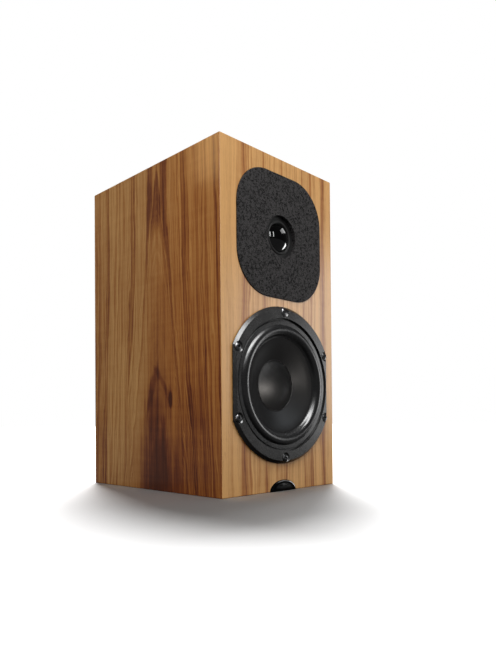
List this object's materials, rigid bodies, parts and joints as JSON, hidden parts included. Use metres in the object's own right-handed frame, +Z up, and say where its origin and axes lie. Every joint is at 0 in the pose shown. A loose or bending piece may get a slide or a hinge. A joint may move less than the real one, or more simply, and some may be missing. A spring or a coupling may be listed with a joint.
{
  "type": "bookshelf speaker",
  "caption": "Bookshelf loudspeaker: a veneered box cabinet with a cone woofer, a dome tweeter in a rounded plate, a rear reflex port and screw-down binding posts.",
  "frame": {"origin": "middle of the object's footprint, at the bottom of the cabinet", "axes": "+Z up, the front with the drivers faces -Y, +X to the right seen from the front"},
  "size_m": [0.16, 0.2135, 0.32],
  "materials": {
    "veneer": "satin lacquered oiled-brown wood veneer with straight and cathedral grain",
    "rear_veneer": "satin lacquered wood veneer",
    "fibreboard": "raw fibreboard",
    "foam": "open-cell acoustic foam",
    "badge_gloss": "polished black, domed",
    "frame_black": "fine satin black powder coat",
    "gasket_foam": "closed-cell foam",
    "screw_black": "black zinc",
    "surround_rubber": "smooth satin rubber",
    "cone_black": "satin black coated cone",
    "coil_former": "thin foil tube",
    "copper": "enamelled copper wire",
    "spider_cloth": "resin-dipped cloth",
    "motor_steel": "zinc plated steel",
    "ferrite": "sintered ferrite",
    "terminal_plastic": "moulded plastic, fine spark texture",
    "plate_texture": "grained black coating",
    "chassis_plastic": "moulded plastic",
    "dome_black": "glossy coated dome",
    "port_plastic": "moulded plastic",
    "gold": "gold plated brass",
    "post_red": "red moulded plastic",
    "post_black": "black moulded plastic",
    "board_green": "printed circuit board",
    "standoff": "nylon",
    "capacitor": "film wrap",
    "resistor": "cement body",
    "lead_wire": "flexible insulation"
  },
  "bodies": {
    "cabinet": {"left_side_panel": "veneer", "right_side_panel": "veneer", "top_panel": "veneer", "bottom_panel": "veneer", "front_baffle": "veneer", "rear_panel": "rear_veneer", "internal_brace": "fibreboard", "damping_foam_left": "foam", "damping_foam_right": "foam", "damping_foam_rear": "foam", "front_badge": "badge_gloss", "woofer_basket": "frame_black", "woofer_gasket": "gasket_foam", "woofer_screws": "screw_black", "woofer_surround": "surround_rubber", "woofer_spider": "spider_cloth", "woofer_top_plate": "motor_steel", "woofer_magnet": "ferrite", "woofer_yoke": "motor_steel", "woofer_terminals": "terminal_plastic", "tweeter_faceplate": "plate_texture", "tweeter_chassis": "chassis_plastic", "tweeter_gasket": "gasket_foam", "tweeter_screws": "screw_black", "tweeter_surround": "surround_rubber", "tweeter_top_plate": "motor_steel", "tweeter_magnet": "ferrite", "tweeter_yoke": "motor_steel", "tweeter_rear_cup": "chassis_plastic", "tweeter_tags": "gold", "port_tube": "port_plastic", "terminal_cup": "terminal_plastic", "terminal_gasket": "gasket_foam", "terminal_cup_screws": "screw_black", "post_stud_black": "gold", "post_stud_red": "gold", "post_base_black": "post_black", "post_base_red": "post_red", "post_nuts": "gold", "solder_tags": "gold", "crossover_board": "board_green", "crossover_standoffs": "standoff", "crossover_screws": "screw_black", "woofer_inductor": "copper", "tweeter_inductor": "copper", "crossover_capacitors": "capacitor", "crossover_resistor": "resistor", "input_leads": "lead_wire", "woofer_leads": "lead_wire", "tweeter_leads": "lead_wire"},
    "woofer_cone_assembly": {"woofer_cone": "cone_black", "woofer_dust_cap": "cone_black", "woofer_coil_former": "coil_former", "woofer_voice_coil": "copper"},
    "tweeter_dome_assembly": {"tweeter_dome": "dome_black", "tweeter_voice_coil": "copper"},
    "black_collar": {"post_collar_black": "gold"},
    "black_knob": {"post_knob_black": "post_black"},
    "red_collar": {"post_collar_red": "gold"},
    "red_knob": {"post_knob_red": "post_red"}
  },
  "joints": [
    {"name": "woofer_travel", "type": "slide", "parent": "cabinet", "child": "woofer_cone_assembly", "axis": [0, -1, 0], "range_m": [-0.004, 0.004], "stiffness_N_per_m": 950, "deforming": ["woofer_surround", "woofer_spider"]},
    {"name": "tweeter_travel", "type": "slide", "parent": "cabinet", "child": "tweeter_dome_assembly", "axis": [0, -1, 0], "range_m": [-0.0004, 0.0004], "stiffness_N_per_m": 60, "deforming": ["tweeter_surround"]},
    {"name": "black_collar_lift", "type": "slide", "parent": "cabinet", "child": "black_collar", "axis": [0, 1, 0], "range_m": [0, 0.006]},
    {"name": "black_knob_turn", "type": "hinge", "parent": "black_collar", "child": "black_knob", "pos_m": [-0.00953, 0.10425, 0.085], "axis": [0, 1, 0], "range_deg": [0, 2160]},
    {"name": "red_collar_lift", "type": "slide", "parent": "cabinet", "child": "red_collar", "axis": [0, 1, 0], "range_m": [0, 0.006]},
    {"name": "red_knob_turn", "type": "hinge", "parent": "red_collar", "child": "red_knob", "pos_m": [0.00953, 0.10425, 0.085], "axis": [0, 1, 0], "range_deg": [0, 2160]}
  ],
  "couplings": [
    {"joint": "black_knob_turn", "follows": "black_collar_lift", "rad_per_m": 6283.2},
    {"joint": "red_knob_turn", "follows": "red_collar_lift", "rad_per_m": 6283.2}
  ]
}
